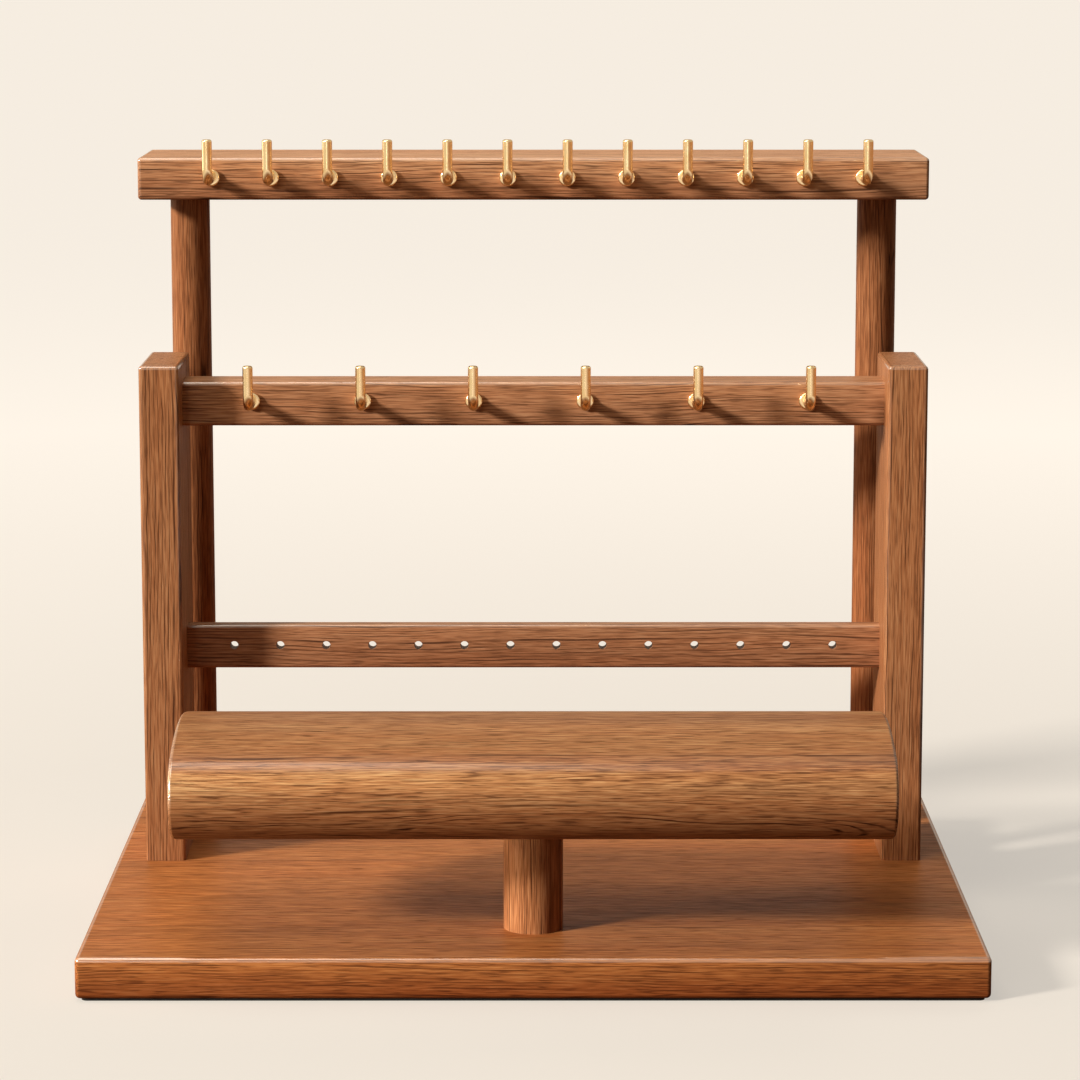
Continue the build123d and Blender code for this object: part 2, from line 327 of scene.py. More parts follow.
class Effects:
    """The node groups that more than one finish uses, each built once.

    A triple says how often a pattern turns over in a metre, along the grain and both ways across
    it. A pair is the part of a noise that a mark takes up, from where it starts to where it is full.
    """

    DRIFT = (7.0, 20.0, 20.0)
    TREMBLE = (70.0, 160.0, 160.0)
    BREAKS = (40.0, 560.0, 560.0)
    PORES = (120.0, 2200.0, 2200.0)
    FIBRES = (70.0, 2400.0, 2400.0)
    BANDS = (5.0, 70.0, 70.0)
    WARMTH = (9.0, 130.0, 130.0)
    RUBBED = (60.0, 240.0, 240.0)
    LINES = 760.0  # growth lines in a metre
    CROWDING = 210.0  # how often they crowd and spread in a metre
    CROWDED = 2.8  # by how many lines they do
    DRIFT_DEPTH = 0.010
    TREMBLE_DEPTH = 0.0007
    LINE = (0.66, 0.90)
    UNBROKEN = (0.40, 0.58)
    BREAK_REST = 0.05  # what is left of a line where it breaks
    PORE = (0.55, 0.68)
    FLECK = (0.46, 0.34)
    TONE = 0.42
    FIBRE_TONE = 0.9
    FLECK_TONE = 0.22
    FIBRE_HEIGHT = 0.4
    RUB = (0.40, 0.64)
    RUB_REST = 0.25  # how much an edge is lightened between the patches

    def __init__(self) -> None:
        """Build every group."""
        self.figure = self._figure()
        self.wear_and_highlight = self._wear_and_highlight()

    def _figure(self) -> bpy.types.NodeTree:
        """Build the figure of sawn wood, whose grain runs along the pattern's own X.

        Returns:
            A group that gives Tone, Stroke, Warmth and Height.
        """
        wiring, given, out = new_group(
            "wood_figure",
            [("Place", "NodeSocketVector"), ("Band", "NodeSocketFloat"),
             ("Lines", "NodeSocketFloat"), ("Specks", "NodeSocketFloat")],
            ["Tone", "Stroke", "Warmth", "Height"],
        )
        place = given.outputs["Place"]
        axes = wiring.add("SeparateXYZ")
        wiring.feed(axes.inputs[0], place)
        # growth lines: they wander slowly, tremble a little and lie at uneven distances
        slow = wiring.noise(wiring.stretch(place, self.DRIFT), 2.0)
        tremble = wiring.noise(wiring.stretch(place, self.TREMBLE), 1.0)
        depth = wiring.math("ADD", axes.outputs[1], axes.outputs[2])
        depth = wiring.math("MULTIPLY_ADD", slow, self.DRIFT_DEPTH, depth)
        depth = wiring.math("MULTIPLY_ADD", tremble, self.TREMBLE_DEPTH, depth)
        uneven = wiring.noise(wiring.math("MULTIPLY", depth, self.CROWDING), 1.0, 0.5, "1D")
        phase = wiring.math("MULTIPLY_ADD", depth, self.LINES,
                            wiring.math("MULTIPLY", uneven, self.CROWDED))
        crest = wiring.math("MULTIPLY", wiring.math("PINGPONG", phase, 0.5), 2.0)
        broken = wiring.noise(wiring.stretch(place, self.BREAKS), 1.5)
        line = wiring.math("MULTIPLY", wiring.remap(crest, self.LINE, (0.0, 1.0)),
                           wiring.remap(broken, self.UNBROKEN, (self.BREAK_REST, 1.0)))
        # short pores, pale flecks and fibres between the lines
        cells = wiring.noise(wiring.stretch(place, self.PORES), 1.5)
        pore = wiring.remap(cells, self.PORE, (0.0, 1.0))
        fleck = wiring.remap(cells, self.FLECK, (0.0, 1.0))
        fibre = wiring.noise(wiring.stretch(place, self.FIBRES), 2.0, 0.6)
        band = wiring.noise(wiring.stretch(place, self.BANDS), 2.0)
        tone = wiring.math("MULTIPLY_ADD", wiring.math("SUBTRACT", band, 0.5),
                           given.outputs["Band"], self.TONE)
        tone = wiring.math("MULTIPLY_ADD", wiring.math("SUBTRACT", fibre, 0.5), self.FIBRE_TONE,
                           tone)
        tone = wiring.math("MULTIPLY_ADD", fleck, self.FLECK_TONE, tone, clamp=True)
        stroke = wiring.math("MAXIMUM", wiring.math("MULTIPLY", line, given.outputs["Lines"]),
                             wiring.math("MULTIPLY", pore, given.outputs["Specks"]))
        wiring.feed(out.inputs["Tone"], tone)
        wiring.feed(out.inputs["Stroke"], stroke)
        wiring.feed(out.inputs["Warmth"], wiring.noise(wiring.stretch(place, self.WARMTH), 2.0))
        wiring.feed(out.inputs["Height"], wiring.math(
            "SUBTRACT", wiring.math("MULTIPLY", fibre, self.FIBRE_HEIGHT), stroke))
        return wiring.tree

    def _wear_and_highlight(self) -> bpy.types.NodeTree:
        """Build the slight lightening along rounded edges, partly worn and partly a painted highlight.

        Returns:
            A group that gives, from the piece's rim, how much the colour is lightened: partly worn
            edges, partly a painted highlight.
        """
        wiring, given, out = new_group(
            "edge_wear_and_highlight",
            [("Place", "NodeSocketVector"), ("Rim", "NodeSocketFloat"), ("Amount", "NodeSocketFloat")],
            ["Wear"],
        )
        patches = wiring.noise(wiring.stretch(given.outputs["Place"], self.RUBBED), 3.0, 0.6)
        lightened = wiring.math("MULTIPLY", wiring.remap(patches, self.RUB, (self.RUB_REST, 1.0)),
                             given.outputs["Rim"])
        wiring.feed(out.inputs["Wear"], wiring.math("MULTIPLY", lightened, given.outputs["Amount"]))
        return wiring.tree


# ---- Finishes -------------------------------------------------------------------------------------


class Grain(Enum):
    """The way that the grain runs in a piece."""

    ALONG_X = "along_x"
    ALONG_Z = "along_z"

    @property
    def turn(self) -> Tuple[float, float, float]:
        """How a place is turned so that the grain runs along the pattern's X."""
        return (0.0, math.pi / 2, 0.0) if self is Grain.ALONG_Z else (0.0, 0.0, 0.0)


def new_material(name: str) -> Tuple[bpy.types.Material, Wiring, bpy.types.Node]:
    """Start a material.

    Args:
        name: The material's name.

    Returns:
        The material, its wiring and its Principled shader.
    """
    material = bpy.data.materials.new(name)
    material.use_nodes = True
    return material, Wiring(material.node_tree), material.node_tree.nodes["Principled BSDF"]


@dataclass(frozen=True)
class WoodFinish:
    """A sawn, sanded wood with a matt oil on its faces and a gloss along its edges. Its colour also
    carries painted shade and a painted highlight, read from marks on each piece.
    """

    name: str
    grain: Grain
    line: Colour
    dark: Colour
    mid: Colour
    light: Colour
    band: float = 0.45
    lines: float = 0.95
    specks: float = 0.50
    stain_and_shade: Colour = (0.56, 0.37, 0.31)
    shift: Tuple[float, float, float] = (0.0, 0.0, 0.0)
    roughness: float = 0.42
    specular: float = 0.12
    edge_gloss: float = 0.90
    edge_roughness: float = 0.09
    edge_index: float = 2.3
    relief: float = 0.25
    wear_and_highlight: float = 0.25
    deep_lines: float = 0.0
    tint: Colour = (1.0, 0.72, 0.50)
    tones: Tuple[float, float, float] = (0.16, 0.46, 0.84)
    warm_cast: Colour = (1.0, 0.80, 0.66)
    warm_part: Tuple[float, float] = (0.36, 0.64)
    warm_most: float = 0.40
    line_roughness: float = 0.20
    relief_depth: float = 0.0002

    def material(self, effects: Effects) -> bpy.types.Material:
        """Build the material.

        Args:
            effects: The shared groups.

        Returns:
            The new material.
        """
        material, wiring, shader = new_material(self.name)
        place = wiring.add("Mapping", vector_type="POINT")
        wiring.feed(place.inputs["Vector"], wiring.place())
        place.inputs["Location"].default_value = self.shift
        place.inputs["Rotation"].default_value = self.grain.turn
        rim, sheen, stain_and_shade_amount = (wiring.attribute(name) for name in ("rim", "sheen", "stain_and_shade_amount"))
        figure = wiring.group(
            effects.figure, Place=place.outputs[0], Band=self.band, Specks=self.specks,
            Lines=wiring.math("MULTIPLY_ADD", stain_and_shade_amount, self.deep_lines, self.lines))
        wear_and_highlight = wiring.group(effects.wear_and_highlight, Place=place.outputs[0], Rim=rim, Amount=self.wear_and_highlight)
        brown = wiring.ramp(figure.outputs["Tone"],
                            list(zip(self.tones, (self.dark, self.mid, self.light))))
        warm = wiring.remap(figure.outputs["Warmth"], self.warm_part, (0.0, self.warm_most))
        brown = wiring.mix(warm, brown, self.warm_cast, "MULTIPLY")
        brown = wiring.mix(figure.outputs["Stroke"], brown, self.line)
        # lighter along the rims: partly worn edges, partly a painted highlight on the edges that face
        # up
        brown = wiring.mix(wear_and_highlight.outputs["Wear"], brown, self.light)
        # the stained tone of each piece, multiplied in by its mark; it also paints shade, darker
        # towards the foot of the board and the rails and beneath the bar
        brown = wiring.mix(stain_and_shade_amount, brown, self.stain_and_shade, "MULTIPLY")
        wiring.feed(shader.inputs["Base Color"], brown)
        wiring.feed(shader.inputs["Roughness"], wiring.math(
            "MULTIPLY_ADD", figure.outputs["Stroke"], self.line_roughness, self.roughness))
        wiring.feed(shader.inputs["Normal"], wiring.bump(
            figure.outputs["Height"], self.relief, self.relief_depth))
        shader.inputs["Specular IOR Level"].default_value = self.specular
        shader.inputs["Specular Tint"].default_value = (*self.tint, 1.0)
        wiring.feed(shader.inputs["Coat Weight"], wiring.math(
            "MULTIPLY_ADD", rim, self.edge_gloss, sheen))
        shader.inputs["Coat Roughness"].default_value = self.edge_roughness
        shader.inputs["Coat IOR"].default_value = self.edge_index
        return material


@dataclass(frozen=True)
class MetalFinish:
    """A plated metal with faint rub marks."""

    name: str
    colour: Colour
    shade: Colour
    roughness: float = 0.16
    spread: float = 0.12
    relief: float = 0.04
    relief_depth: float = 0.0001
    clouds: float = 225.0
    cloud_part: Tuple[float, float] = (0.35, 0.68)
    marks: Tuple[float, float, float] = (1800.0, 1800.0, 450.0)

    def material(self, effects: Effects) -> bpy.types.Material:
        """Build the material.

        Args:
            effects: The shared groups.

        Returns:
            The new material.
        """
        material, wiring, shader = new_material(self.name)
        place = wiring.place()
        cloud = wiring.noise(wiring.stretch(place, (self.clouds,) * 3), 3.0, 0.6)
        marks = wiring.noise(wiring.stretch(place, self.marks), 2.0, 0.6)
        wiring.feed(shader.inputs["Base Color"], wiring.mix(
            wiring.remap(cloud, self.cloud_part, (0.0, 1.0)), self.colour, self.shade))
        wiring.feed(shader.inputs["Roughness"], wiring.math(
            "MULTIPLY_ADD", marks, self.spread, self.roughness - 0.5 * self.spread))
        shader.inputs["Metallic"].default_value = 1.0
        wiring.feed(shader.inputs["Normal"], wiring.bump(marks, self.relief, self.relief_depth))
        return material


@dataclass(frozen=True)
class RubberFinish:
    """A matt non-slip rubber with a fine pebbled skin."""

    name: str
    colour: Colour
    dusty: Colour
    pebbles: float = 1400.0
    dust: float = 55.0
    dust_part: Tuple[float, float] = (0.50, 0.72)
    dust_most: float = 0.6
    roughness: Tuple[float, float] = (0.78, 0.92)
    relief: float = 0.5
    relief_depth: float = 0.0002

    def material(self, effects: Effects) -> bpy.types.Material:
        """Build the material.

        Args:
            effects: The shared groups.

        Returns:
            The new material.
        """
        material, wiring, shader = new_material(self.name)
        place = wiring.place()
        pebbles = wiring.noise(wiring.stretch(place, (self.pebbles,) * 3), 2.0, 0.5)
        dust = wiring.noise(wiring.stretch(place, (self.dust,) * 3), 3.0, 0.6)
        wiring.feed(shader.inputs["Base Color"], wiring.mix(
            wiring.remap(dust, self.dust_part, (0.0, self.dust_most)), self.colour, self.dusty))
        wiring.feed(shader.inputs["Roughness"], wiring.remap(dust, (0.3, 0.7), self.roughness))
        wiring.feed(shader.inputs["Normal"], wiring.bump(pebbles, self.relief, self.relief_depth))
        return material


class Finishes:
    """Every finish of the stand, by the name of its material slot."""

    WALNUT: Dict[str, Colour] = {
        "line": (0.085, 0.032, 0.016),
        "dark": (0.280, 0.112, 0.044),
        "mid": (0.510, 0.240, 0.104),
        "light": (0.640, 0.360, 0.175),
    }
    RED_WALNUT: Dict[str, Colour] = {
        "line": (0.110, 0.034, 0.012),
        "dark": (0.270, 0.090, 0.029),
        "mid": (0.500, 0.180, 0.052),
        "light": (0.640, 0.280, 0.095),
    }
    PALE_WALNUT: Dict[str, Colour] = {
        "line": (0.090, 0.038, 0.021),
        "dark": (0.310, 0.140, 0.066),
        "mid": (0.565, 0.290, 0.147),
        "light": (0.710, 0.420, 0.232),
    }
    GOLD_WALNUT: Dict[str, Colour] = {
        "line": (0.075, 0.026, 0.010),
        "dark": (0.220, 0.090, 0.038),
        "mid": (0.480, 0.235, 0.098),
        "light": (0.680, 0.420, 0.200),
    }

    def __init__(self, effects: Effects) -> None:
        """Build every material.

        Args:
            effects: The shared groups.
        """
        walnut = self.WALNUT
        wood = [
            WoodFinish("base_wood", Grain.ALONG_X, **self.RED_WALNUT, lines=0.90, specks=0.70,
                       stain_and_shade=(0.44, 0.30, 0.28), specular=0.08, edge_roughness=0.18,
                       edge_index=3.0),
            WoodFinish("post_wood", Grain.ALONG_Z, **walnut),
            WoodFinish("rail_wood", Grain.ALONG_X, **self.PALE_WALNUT, shift=(0.3, 0.1, 0.0),
                       stain_and_shade=(0.58, 0.47, 0.44), specks=0.60),
            WoodFinish("bar_wood", Grain.ALONG_X, **self.GOLD_WALNUT, shift=(0.7, 0.0, 0.2),
                       lines=0.45, deep_lines=0.65, specks=0.75, band=0.70,
                       edge_roughness=0.22),
            WoodFinish("dowel_wood", Grain.ALONG_X, (0.30, 0.17, 0.08), (0.42, 0.26, 0.13),
                       (0.60, 0.42, 0.24), (0.72, 0.55, 0.36), edge_gloss=0.0, roughness=0.62,
                       wear_and_highlight=0.0),
        ]
        metal = [
            MetalFinish("hook_metal", (0.98, 0.77, 0.47), (0.93, 0.67, 0.35), roughness=0.20),
            MetalFinish("screw_steel", (0.62, 0.61, 0.58), (0.50, 0.49, 0.47), roughness=0.32),
        ]
        rubber = [RubberFinish("mat_rubber", (0.018, 0.018, 0.018), (0.0496, 0.0496, 0.0496))]
        self.by_slot: Dict[str, bpy.types.Material] = {
            finish.name: finish.material(effects) for finish in [*wood, *metal, *rubber]
        }


# ---- The bench: shaping pieces with Blender's own operators ------------------------------------


def release() -> None:
    """Leave edit mode and let go of everything."""
    if bpy.context.object is not None and bpy.context.object.mode != "OBJECT":
        bpy.ops.object.mode_set(mode="OBJECT")
    bpy.ops.object.select_all(action="DESELECT")


def take_up(piece: bpy.types.Object) -> None:
    """Select one piece and nothing else.

    Args:
        piece: The piece.
    """
    release()
    piece.select_set(True)
    bpy.context.view_layer.objects.active = piece


@dataclass(frozen=True)
class Hole:
    """A round hole, straight or widening to its mouth."""

    mouth: Vector
    inward: Vector
    radius: float
    depth: float
    mouth_radius: Optional[float] = None
    sides: int = 32

    def cutter(self) -> bpy.types.Object:
        """Make the tool that cuts it.

        Returns:
            A rod that starts a little outside the mouth, or a cone that starts at it.
        """
        release()
        way = self.inward.normalized()
        outside = 0.0 if self.mouth_radius else OVERSHOOT
        bpy.ops.mesh.primitive_cone_add(
            vertices=self.sides, radius1=self.mouth_radius or self.radius, radius2=self.radius,
            depth=self.depth + outside,
            location=self.mouth + way * ((self.depth - outside) / 2),
            rotation=way.to_track_quat("Z", "Y").to_euler())
        tool = bpy.context.object
        bpy.ops.object.transform_apply(location=True, rotation=True, scale=True)
        return tool


class Bench:
    """Holds one piece while it is shaped."""

    UPRIGHT_RIM = 0.25  # how much of a rim an upright edge is
    SQUARE = 0.9995  # a face whose normal has a part above this lies square to an axis
    LEVEL = 0.1  # a face whose normal rises less than this is upright

    def __init__(self, name: str, node: Optional[str] = None) -> None:
        """Clear the bench.

        Args:
            name: The name of the piece to be made.
            node: The node of the frame that gives it its box, if one does.
        """
        release()
        self.name = name
        self.piece: Optional[bpy.types.Object] = None
        if node:
            self.node = node
            self.low, self.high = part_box(node)
            self.middle = (self.low + self.high) / 2
            self.foot = Vector((self.middle.x, self.middle.y, self.low.z))

    def _take(self) -> None:
        """Name the primitive that has just been added and put its place into its mesh."""
        self.piece = bpy.context.object
        self.piece.name = self.piece.data.name = self.name
        bpy.ops.object.transform_apply(location=True, rotation=True, scale=True)

    def block(self) -> None:
        """Start from a block that fills the box."""
        bpy.ops.mesh.primitive_cube_add(size=1.0, location=self.middle, scale=self.high - self.low)
        self._take()

    def rod(self, radius: float, length: float) -> None:
        """Start from an upright rod on the middle of the box's floor.

        Args:
            radius: Its radius.
            length: Its length.
        """
        bpy.ops.mesh.primitive_cylinder_add(
            vertices=ROUND_SIDES, radius=radius, depth=length, location=self.foot + UP * (length / 2))
        self._take()

    def hoop(self, centre: Vector, radius: float, sides: int, axis: str) -> None:
        """Start from an open ring of edges.

        Args:
            centre: Its middle.
            radius: Its radius.
            sides: How many edges it has.
            axis: X or Y, the axis that it goes round.
        """
        turn = (0.0, math.pi / 2, 0.0) if axis == "X" else (math.pi / 2, 0.0, 0.0)
        bpy.ops.mesh.primitive_circle_add(
            vertices=sides, radius=radius, fill_type="NOTHING", location=centre, rotation=turn)
        self._take()

    def edit(self, kind: str = "FACE") -> None:
        """Go into edit mode with nothing selected.

        Args:
            kind: VERT, EDGE or FACE, what is selected there.
        """
        bpy.ops.object.mode_set(mode="EDIT")
        bpy.ops.mesh.select_mode(type=kind)
        bpy.ops.mesh.select_all(action="DESELECT")

    def done(self) -> None:
        """Leave edit mode."""
        bpy.ops.object.mode_set(mode="OBJECT")

    def pick_top(self) -> None:
        """Select the faces that look up, in edit mode."""
        mesh = bmesh.from_edit_mesh(self.piece.data)
        for face in mesh.faces:
            face.select_set(face.normal.z > FACES_UP)
        bmesh.update_edit_mesh(self.piece.data)

    def pick_edges(self, wanted: Callable[[Vector, Vector], bool]) -> None:
        """Select edges in edit mode.

        Args:
            wanted: Says, from the two ends of an edge, whether it is selected.
        """
        bpy.ops.mesh.select_all(action="DESELECT")
        mesh = bmesh.from_edit_mesh(self.piece.data)
        for edge in mesh.edges:
            edge.select_set(wanted(edge.verts[0].co, edge.verts[1].co))
        bmesh.update_edit_mesh(self.piece.data)

    def round_edges(self, wanted: Callable[[Vector, Vector], bool], radius: float,
                    segments: int = 5) -> None:
        """Round the chosen edges.

        Args:
            wanted: Says, from the two ends of an edge, whether it is rounded.
            radius: The radius.
            segments: How many strips the rounding has.
        """
        self.edit("EDGE")
        self.pick_edges(wanted)
        bpy.ops.mesh.bevel(offset=radius, offset_type="OFFSET", segments=segments, profile=0.5,
                           affect="EDGES")
        self.done()

    def lengthen(self, step: Vector) -> None:
        """Extrude what is selected in edit mode.

        Args:
            step: How far and which way.
        """
        bpy.ops.mesh.extrude_region_move(TRANSFORM_OT_translate={"value": step})

    def mark_rim(self, gloss: Optional[Callable[[Vector], float]] = None) -> None:
        """Mark the faces along rounded edges, which are glossy and painted lighter, partly as worn
        edges and partly as a painted highlight.

        Args:
            gloss: Says, from a face's middle, how much of a rim it is. Where it is left out, the
                rim is every face that lies square to no axis and doesn't look down, and it is
                weaker along the upright edges, so the painted highlight lies mostly on the edges that
                face up.
        """
        def usual(normal: Vector) -> float:
            """How much of a rim a face is, from its normal."""
            if max(abs(part) for part in normal) > self.SQUARE or normal.z < -self.LEVEL:
                return 0.0
            return 1.0 if normal.z > self.LEVEL else self.UPRIGHT_RIM

        mesh = self.piece.data
        marks = mesh.attributes.new("rim", "FLOAT", "FACE")
        marks.data.foreach_set("value", [
            gloss(face.center) if gloss else usual(face.normal) for face in mesh.polygons])

    def mark(self, name: str, amount: Callable[[Vector], float]) -> None:
        """Mark every corner with a number that the finish reads.

        Args:
            name: The amount of stained tone and painted shade that is multiplied in, or sheen, how much
                gloss there is.
            amount: Says, from a place on the piece, how much of it there is, from 0 to 1.
        """
        mesh = self.piece.data
        marks = mesh.attributes.new(name, "FLOAT", "POINT")
        marks.data.foreach_set("value", [amount(corner.co) for corner in mesh.vertices])

    def stain_and_shade_by_height(self, foot: float, top: float) -> None:
        """Mark a stained tone and painted shade that change evenly from the foot of a piece to its top.

        Args:
            foot: How much tone and painted shade there is at the foot.
            top: How deep it is at the top.
        """
        height = self.high.z - self.low.z
        self.mark("stain_and_shade_amount", lambda place: foot + (top - foot) * (place.z - self.low.z) / height)

    def bore(self, holes: Sequence[Hole]) -> None:
        """Cut round holes with one boolean.

        Args:
            holes: The holes to cut.
        """
        cutters = [hole.cutter() for hole in holes]
        take_up(cutters[0])
        for cutter in cutters:
            cutter.select_set(True)
        if len(cutters) > 1:
            bpy.ops.object.join()
        cutter = bpy.context.object
        take_up(self.piece)
        cut = self.piece.modifiers.new("holes", "BOOLEAN")
        cut.operation, cut.solver, cut.object = "DIFFERENCE", "EXACT", cutter
        bpy.ops.object.modifier_apply(modifier=cut.name)
        bpy.data.objects.remove(cutter)

    def smooth(self, angle: float = 32.0) -> None:
        """Shade the rounded faces smooth and keep the flat ones flat.

        Args:
            angle: Edges sharper than this many degrees stay sharp.
        """
        take_up(self.piece)
        bpy.ops.object.shade_smooth_by_angle(angle=math.radians(angle))
        even = self.piece.modifiers.new("even_normals", "WEIGHTED_NORMAL")
        even.keep_sharp = True
        even.weight = 100
        bpy.ops.object.modifier_apply(modifier=even.name)

    def repeat(self, name: str, step: Vector) -> bpy.types.Object:
        """Copy the piece, with a mesh of its own, and set the copy in its place.

        Args:
            name: The copy's name.
            step: How far it is from the piece.

        Returns:
            The copy.
        """
        take_up(self.piece)
        bpy.ops.object.duplicate(linked=False)
        copy = bpy.context.object
        copy.name = copy.data.name = name
        copy.location = step
        bpy.ops.object.transform_apply(location=True, rotation=True, scale=True)
        return copy


def pilot_holes(node: str, steps: Sequence[float]) -> List[Hole]:
    """Lay out the holes in a post's foot for the screws that come up through the board.

    Args:
        node: The post's node.
        steps: Where each screw is, as a share of the spacing of a pair.

    Returns:
        The holes.
    """
    low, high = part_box(node)
    middle = (low + high) / 2
    return [Hole(Vector((middle.x, middle.y + step * SCREW_SPACING, low.z)), UP, PILOT_RADIUS,
                 PILOT_DEPTH) for step in steps]


@dataclass
class Assembly:
    """What every sub-assembly shares: the finishes, and how its pieces are made and dressed."""

    finishes: Finishes

    def settle(self, piece: bpy.types.Object, node: str, slot: str) -> None:
        """Dress a new piece, let it ride and let it stand for its node.

        Args:
            piece: The new piece.
            node: The node of the frame that it stands for.
            slot: Its material slot.
        """
        piece.data.materials.clear()
        piece.data.materials.append(self.finishes.by_slot[slot])
        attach(piece, "root")
        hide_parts(node)
        log.info("%s: %d faces, %s", piece.name, len(piece.data.polygons), slot)

    def dress(self, node: str, slot: str) -> None:
        """Give a node of the frame its finish.

        Args:
            node: The node's name.
            slot: Its material slot.
        """
        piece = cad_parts[node]
        if not piece.data.materials:
            piece.data.materials.append(None)
        for place in piece.material_slots:
            place.material = self.finishes.by_slot[slot]
        log.info("%s: kept from the frame, %s", node, slot)

    def saw(self, name: str, node: str, slot: str, rounded: Callable[[Vector, Vector], bool],
            radius: float, stain_and_shade: Tuple[float, float], *bores: Sequence[Hole]) -> None:
        """Build a sawn piece: a block with rounded edges, holes, and a stained tone with painted shade.

        Args:
            name: The piece's name.
            node: The node that it stands for.
            slot: Its material slot.
            rounded: Says, from the two ends of an edge, whether it is rounded.
            radius: The radius of those edges.
            stain_and_shade: How much tone and painted shade there is at its foot and at its top.
            bores: The holes, one list for each boolean.
        """
        bench = Bench(name, node)
        bench.block()
        bench.round_edges(rounded, radius)
        bench.mark_rim()
        for holes in bores:
            bench.bore(holes)
        bench.smooth()
        bench.stain_and_shade_by_height(*stain_and_shade)
        self.settle(bench.piece, node, slot)

    def turn_post(self, name: str, node: str, radius: float, stain_and_shade: Tuple[float, float],
                  chamfer: float, tenon: Tuple[float, float] = (0.0, 0.0)) -> None:
        """Build a round post: a rod with a chamfered top, turned down to a tenon if it has one.

        Args:
            name: The piece's name.
            node: The node that it stands for.
            radius: Its radius.
            stain_and_shade: How much tone and painted shade there is at its foot and at its top.
            chamfer: The size of the chamfer.
            tenon: The tenon's radius and length.
        """
        tenon_radius, tenon_length = tenon
        bench = Bench(name, node)
        bench.rod(radius, bench.high.z - tenon_length - bench.low.z)
        bench.edit("FACE")
        bench.pick_top()
        if tenon_length:
            bpy.ops.mesh.inset(thickness=radius - tenon_radius)
            bench.lengthen(UP * tenon_length)
        bpy.ops.mesh.bevel(offset=chamfer, segments=1, affect="EDGES")
        bench.done()
        bench.bore(pilot_holes(node, SINGLE))
        bench.smooth()
        bench.stain_and_shade_by_height(*stain_and_shade)
        self.settle(bench.piece, node, "post_wood")


# ---- Base -------------------------------------------------------------------------------------------


@dataclass
class Base(Assembly):
    """The base board and the mat beneath it."""

    edge_radius: float = 0.0016
    # painted shade: the board's tone is deepest at its foot and gone at its top, so its front reads
    # darker than its top
    stain_and_shade: Tuple[float, float] = (1.0, 0.0)
    screw_hole_radius: float = 0.0020
    head_radius: float = 0.00355
    root_radius: float = 0.0013
    sunk: float = 0.0004
    head_height: float = 0.0024
    mat_corner_radius: float = 0.0020
    mat_edge_radius: float = 0.0002

    def screw_axes(self, underside: float) -> List[Vector]:
        """Find the axes of the seven screws.

        Args:
            underside: The height of the board's underside.

        Returns:
            A point on each axis, at that height.
        """
        axes = []
        for node, steps in SCREWS.items():
            low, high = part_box(node)
            middle = (low + high) / 2
            axes += [Vector((middle.x, middle.y + step * SCREW_SPACING, underside))
                     for step in steps]
        return axes

    def board(self) -> None:
        """Build the board: rounded all over, with countersunk screw holes beneath."""
        low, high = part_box("base_board")
        axes = self.screw_axes(low.z)
        self.saw(
            "walnut_base_board", "base_board", "base_wood", lambda a, b: True, self.edge_radius,
            self.stain_and_shade,
            [Hole(axis, UP, self.screw_hole_radius, high.z - low.z + OVERSHOOT) for axis in axes],
            [Hole(axis, UP, self.head_radius, self.sunk) for axis in axes],
            [Hole(axis + UP * self.sunk, UP, self.root_radius, self.head_height, self.head_radius)
             for axis in axes])

    def mat(self) -> None:
        """Build the mat: a thin sheet with round corners and softly cut edges."""
        bench = Bench("non_slip_mat", "anti_slip_mat")
        bench.block()
        bench.round_edges(lambda a, b: abs(a.z - b.z) > CLOSE, self.mat_corner_radius, 8)
        bench.round_edges(lambda a, b: abs(a.z - b.z) < CLOSE, self.mat_edge_radius, 2)
        bench.mark_rim()
        bench.smooth()
        self.settle(bench.piece, "anti_slip_mat", "mat_rubber")

    def build(self) -> None:
        """Build the whole base."""
        self.board()
        self.mat()


# ---- Front frame --------------------------------------------------------------------------------


